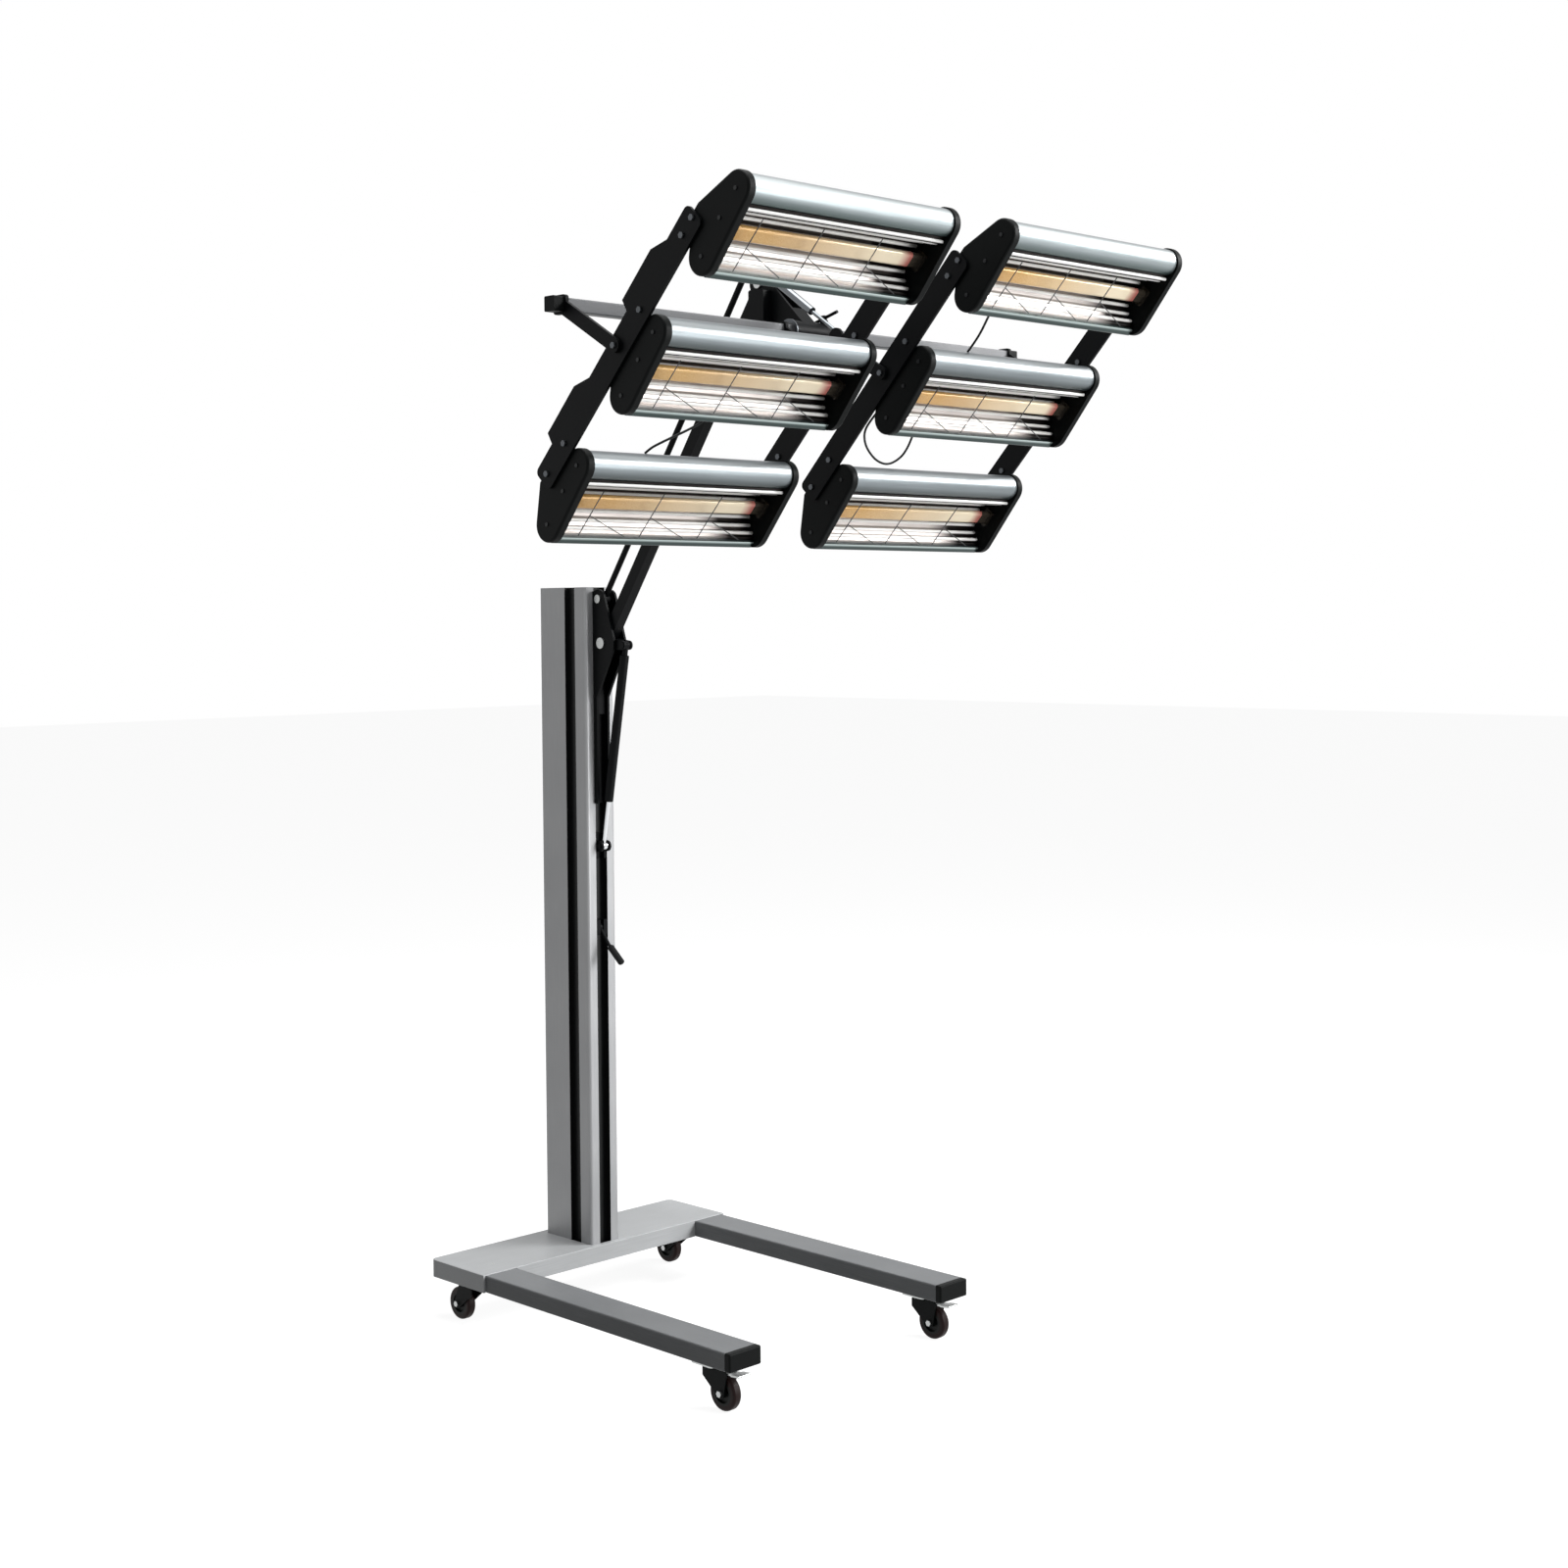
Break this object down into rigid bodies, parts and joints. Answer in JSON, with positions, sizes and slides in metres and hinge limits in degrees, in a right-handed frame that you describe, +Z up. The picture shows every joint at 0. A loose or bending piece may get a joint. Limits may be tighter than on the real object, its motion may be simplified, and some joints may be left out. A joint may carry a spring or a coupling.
{
  "type": "infrared paint curing lamp",
  "caption": "Infrared paint curing lamp on a wheeled U-shaped base: slotted column, parallel lifting arm with strut, and a tilting head with open-front lamp cassettes.",
  "frame": {"origin": "floor point under the column's centre line", "axes": "+X along the lamp banks and the rear cross member, legs and lamps towards -Y, +Z up"},
  "size_m": [1.4, 1.3899, 2.4749],
  "materials": {
    "black_steel": "satin",
    "cover_aluminium": "satin",
    "leg_paint": "satin",
    "black_plastic": "satin",
    "zinc": "satin",
    "column_aluminium": "satin",
    "grip_rubber": "matte",
    "chrome_rod": "polished",
    "brass_bush": "satin",
    "bar_paint": "satin",
    "cord_sleeve": "matte",
    "cassette_aluminium": "satin",
    "reflector_mirror": "polished",
    "quartz_glass": "polished",
    "caster_black": "satin",
    "caster_tyre": "matte"
  },
  "bodies": {
    "base": {"rear_beam": "black_steel", "base_cover": "cover_aluminium", "left_leg": "leg_paint", "right_leg": "leg_paint", "leg_caps": "black_plastic", "cover_screws": "zinc", "column": "column_aluminium", "arm_bracket": "black_steel", "bracket_pins": "zinc", "slot_lugs": "black_steel", "caster_plates": "zinc"},
    "lever": {"release_lever": "black_steel", "lever_grip": "grip_rubber"},
    "main_arm": {"main_link": "black_steel", "ear_bolt": "zinc"},
    "rear_arm": {"rear_link": "black_steel"},
    "strut_cylinder": {"strut_cylinder": "black_steel"},
    "strut_rod": {"strut_rod": "chrome_rod"},
    "head_bracket": {"head_bracket": "black_steel", "head_pins": "zinc", "bearing_bushes": "brass_bush"},
    "clamp_handle": {"clamp_handle": "black_steel"},
    "tilt_cylinder": {"tilt_cylinder": "black_steel"},
    "tilt_rod": {"tilt_rod": "chrome_rod"},
    "lamp_head": {"cross_bar": "bar_paint", "bar_end_caps": "black_plastic", "yoke_arms": "black_steel", "left_outer_rail": "black_steel", "left_inner_rail": "black_steel", "right_inner_rail": "black_steel", "right_outer_rail": "black_steel", "rail_bolts": "zinc", "lamp_cords": "cord_sleeve", "top_left_housing": "cassette_aluminium", "top_right_housing": "cassette_aluminium", "middle_left_housing": "cassette_aluminium", "middle_right_housing": "cassette_aluminium", "bottom_left_housing": "cassette_aluminium", "bottom_right_housing": "cassette_aluminium", "left_reflectors": "reflector_mirror", "left_lamps": "quartz_glass", "left_end_caps": "black_plastic", "right_reflectors": "reflector_mirror", "right_lamps": "quartz_glass", "right_end_caps": "black_plastic"},
    "front_left_caster": {"front_left_fork": "caster_black", "front_left_axle": "zinc"},
    "front_left_wheel": {"front_left_wheel": "caster_tyre"},
    "front_left_pedal": {"front_left_brake_pedal": "zinc"},
    "front_right_caster": {"front_right_fork": "caster_black", "front_right_axle": "zinc"},
    "front_right_wheel": {"front_right_wheel": "caster_tyre"},
    "front_right_pedal": {"front_right_brake_pedal": "zinc"},
    "rear_left_caster": {"rear_left_fork": "caster_black", "rear_left_axle": "zinc"},
    "rear_left_wheel": {"rear_left_wheel": "caster_tyre"},
    "rear_right_caster": {"rear_right_fork": "caster_black", "rear_right_axle": "zinc"},
    "rear_right_wheel": {"rear_right_wheel": "caster_tyre"}
  },
  "joints": [
    {"name": "arm_lift", "type": "hinge", "parent": "base", "child": "main_arm", "pos_m": [0, -0.115, 1.568], "axis": [1, 0, 0], "range_deg": [-12, 70]},
    {"name": "rear_link_swing", "type": "hinge", "parent": "base", "child": "rear_arm", "pos_m": [0, -0.106, 1.672], "axis": [1, 0, 0], "range_deg": [-13, 71]},
    {"name": "head_level", "type": "hinge", "parent": "main_arm", "child": "head_bracket", "pos_m": [0, -0.65309, 2.35092], "axis": [1, 0, 0], "range_deg": [-71, 13]},
    {"name": "strut_swing", "type": "hinge", "parent": "main_arm", "child": "strut_cylinder", "pos_m": [0, -0.18, 1.563], "axis": [1, 0, 0], "range_deg": [-75, 14]},
    {"name": "strut_slide", "type": "slide", "parent": "strut_cylinder", "child": "strut_rod", "axis": [0, 0.1798, -0.9837], "range_m": [-0.069, 0.0125]},
    {"name": "head_tilt", "type": "hinge", "parent": "head_bracket", "child": "lamp_head", "pos_m": [0, -0.77299, 2.23302], "axis": [1, 0, 0], "range_deg": [-40, 30]},
    {"name": "tilt_swing", "type": "hinge", "parent": "head_bracket", "child": "tilt_cylinder", "pos_m": [0, -0.69999, 2.37302], "axis": [1, 0, 0], "range_deg": [-22, 17]},
    {"name": "tilt_slide", "type": "slide", "parent": "tilt_cylinder", "child": "tilt_rod", "axis": [0, -0.8208, -0.5712], "range_m": [-0.056, 0.042]},
    {"name": "clamp_turn", "type": "hinge", "parent": "head_bracket", "child": "clamp_handle", "pos_m": [0.052, -0.78969, 2.23302], "axis": [0, 0.2656, 0.9641], "range_deg": [-25, 15]},
    {"name": "lever_squeeze", "type": "hinge", "parent": "base", "child": "lever", "pos_m": [0, -0.076, 0.893], "axis": [1, 0, 0], "range_deg": [0, 20], "stiffness_Nm_per_rad": 1.2, "springref_deg": -20.05},
    {"name": "front_left_swivel", "type": "hinge", "parent": "base", "child": "front_left_caster", "pos_m": [-0.323, -0.811, 0.084], "axis": [0, 0, 1], "continuous": true},
    {"name": "front_left_roll", "type": "hinge", "parent": "front_left_caster", "child": "front_left_wheel", "pos_m": [-0.323, -0.841, 0.0375], "axis": [1, 0, 0], "continuous": true},
    {"name": "front_left_brake", "type": "hinge", "parent": "front_left_caster", "child": "front_left_pedal", "pos_m": [-0.323, -0.851, 0.08], "axis": [1, 0, 0], "range_deg": [0, 14]},
    {"name": "front_right_swivel", "type": "hinge", "parent": "base", "child": "front_right_caster", "pos_m": [0.323, -0.811, 0.084], "axis": [0, 0, 1], "continuous": true},
    {"name": "front_right_roll", "type": "hinge", "parent": "front_right_caster", "child": "front_right_wheel", "pos_m": [0.323, -0.841, 0.0375], "axis": [1, 0, 0], "continuous": true},
    {"name": "front_right_brake", "type": "hinge", "parent": "front_right_caster", "child": "front_right_pedal", "pos_m": [0.323, -0.851, 0.08], "axis": [1, 0, 0], "range_deg": [0, 14]},
    {"name": "rear_left_swivel", "type": "hinge", "parent": "base", "child": "rear_left_caster", "pos_m": [-0.323, 0.019, 0.084], "axis": [0, 0, 1], "continuous": true},
    {"name": "rear_left_roll", "type": "hinge", "parent": "rear_left_caster", "child": "rear_left_wheel", "pos_m": [-0.323, 0.049, 0.0375], "axis": [1, 0, 0], "continuous": true},
    {"name": "rear_right_swivel", "type": "hinge", "parent": "base", "child": "rear_right_caster", "pos_m": [0.323, 0.019, 0.084], "axis": [0, 0, 1], "continuous": true},
    {"name": "rear_right_roll", "type": "hinge", "parent": "rear_right_caster", "child": "rear_right_wheel", "pos_m": [0.323, 0.049, 0.0375], "axis": [1, 0, 0], "continuous": true}
  ],
  "couplings": [
    {"joint": "rear_link_swing", "follows": "arm_lift", "ratio": 1},
    {"joint": "head_level", "follows": "arm_lift", "ratio": -1},
    {"joint": "strut_swing", "follows": "arm_lift", "ratio": -1.0554},
    {"joint": "strut_slide", "follows": "arm_lift", "m_per_rad": -0.055542},
    {"joint": "tilt_swing", "follows": "head_tilt", "ratio": 0.52768},
    {"joint": "tilt_slide", "follows": "head_tilt", "m_per_rad": 0.078333}
  ]
}
